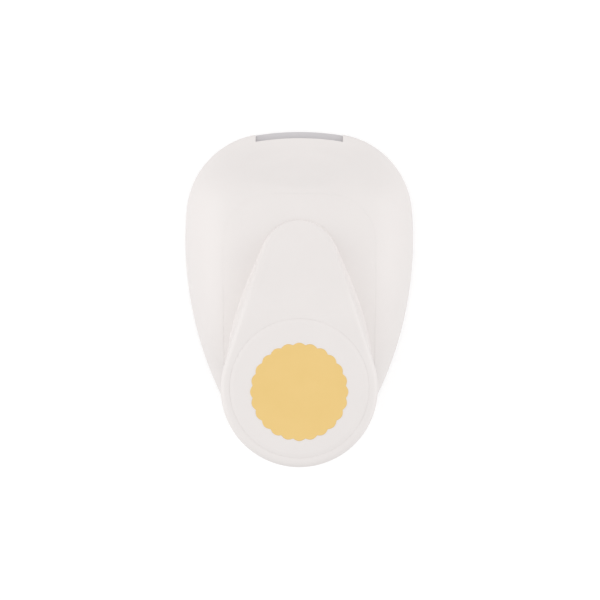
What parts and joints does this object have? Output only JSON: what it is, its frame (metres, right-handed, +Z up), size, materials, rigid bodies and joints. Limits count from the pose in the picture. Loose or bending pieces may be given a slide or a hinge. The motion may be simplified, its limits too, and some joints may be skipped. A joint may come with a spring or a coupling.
{
  "type": "scalloped circle punch",
  "caption": "Table-top craft paper punch with a thumb lever, a paper slot and a steel die that cuts a scalloped circle.",
  "frame": {"origin": "on the standing surface, under the middle of the overall box", "axes": "+Z up, +Y towards the thumb pad, -Y towards the paper mouth, +X to the right seen from the mouth's side looking at the pad"},
  "size_m": [0.0614, 0.089, 0.0471],
  "materials": {
    "shell_white": "satin moulded ABS, warm white",
    "badge_gold": "pale gold foil, satin",
    "plate_steel": "zinc plated, brushed",
    "cutter_steel": "ground",
    "frame_steel": "pressed sheet, zinc plated",
    "screw_steel": "zinc plated",
    "foot_rubber": "matt, pale grey"
  },
  "bodies": {
    "chassis": {"base_tray": "shell_white", "housing": "shell_white", "foot_front_left": "foot_rubber", "foot_front_right": "foot_rubber", "foot_rear_left": "foot_rubber", "foot_rear_right": "foot_rubber", "die_plate": "plate_steel", "guide_plate": "plate_steel", "paper_stop": "plate_steel", "spring_post_left": "screw_steel", "spring_post_right": "screw_steel", "return_spring_left": "screw_steel", "return_spring_right": "screw_steel", "pivot_bracket": "frame_steel", "pivot_pin": "cutter_steel", "pivot_clip_left": "screw_steel", "pivot_clip_right": "screw_steel", "bracket_rivet_front": "screw_steel", "bracket_rivet_rear": "screw_steel", "side_screw_left": "screw_steel", "side_screw_right": "screw_steel", "rear_screw_left": "screw_steel", "rear_screw_right": "screw_steel", "die_screw_left": "screw_steel", "die_screw_right": "screw_steel", "guide_screw_left": "screw_steel", "guide_screw_right": "screw_steel"},
    "lever": {"lever_shell": "shell_white", "lever_frame": "frame_steel", "push_roller": "cutter_steel", "shell_screw_front": "screw_steel", "shell_screw_rear": "screw_steel", "pad_disc": "shell_white", "shape_badge": "badge_gold"},
    "punch": {"cutter": "cutter_steel", "punch_holder": "frame_steel", "holder_screw": "screw_steel"}
  },
  "joints": [
    {"name": "lever_hinge", "type": "hinge", "parent": "chassis", "child": "lever", "pos_m": [0, -0.0325, 0.0172], "axis": [-1, 0, 0], "range_deg": [0, 15.5], "stiffness_Nm_per_rad": 0.43, "springref_deg": -20.23},
    {"name": "punch_slide", "type": "slide", "parent": "chassis", "child": "punch", "axis": [0, 0, -1], "range_m": [0, 0.0046], "deforming": ["return_spring_left", "return_spring_right"]}
  ],
  "couplings": [
    {"joint": "punch_slide", "follows": "lever_hinge", "m_per_rad": 0.017}
  ]
}
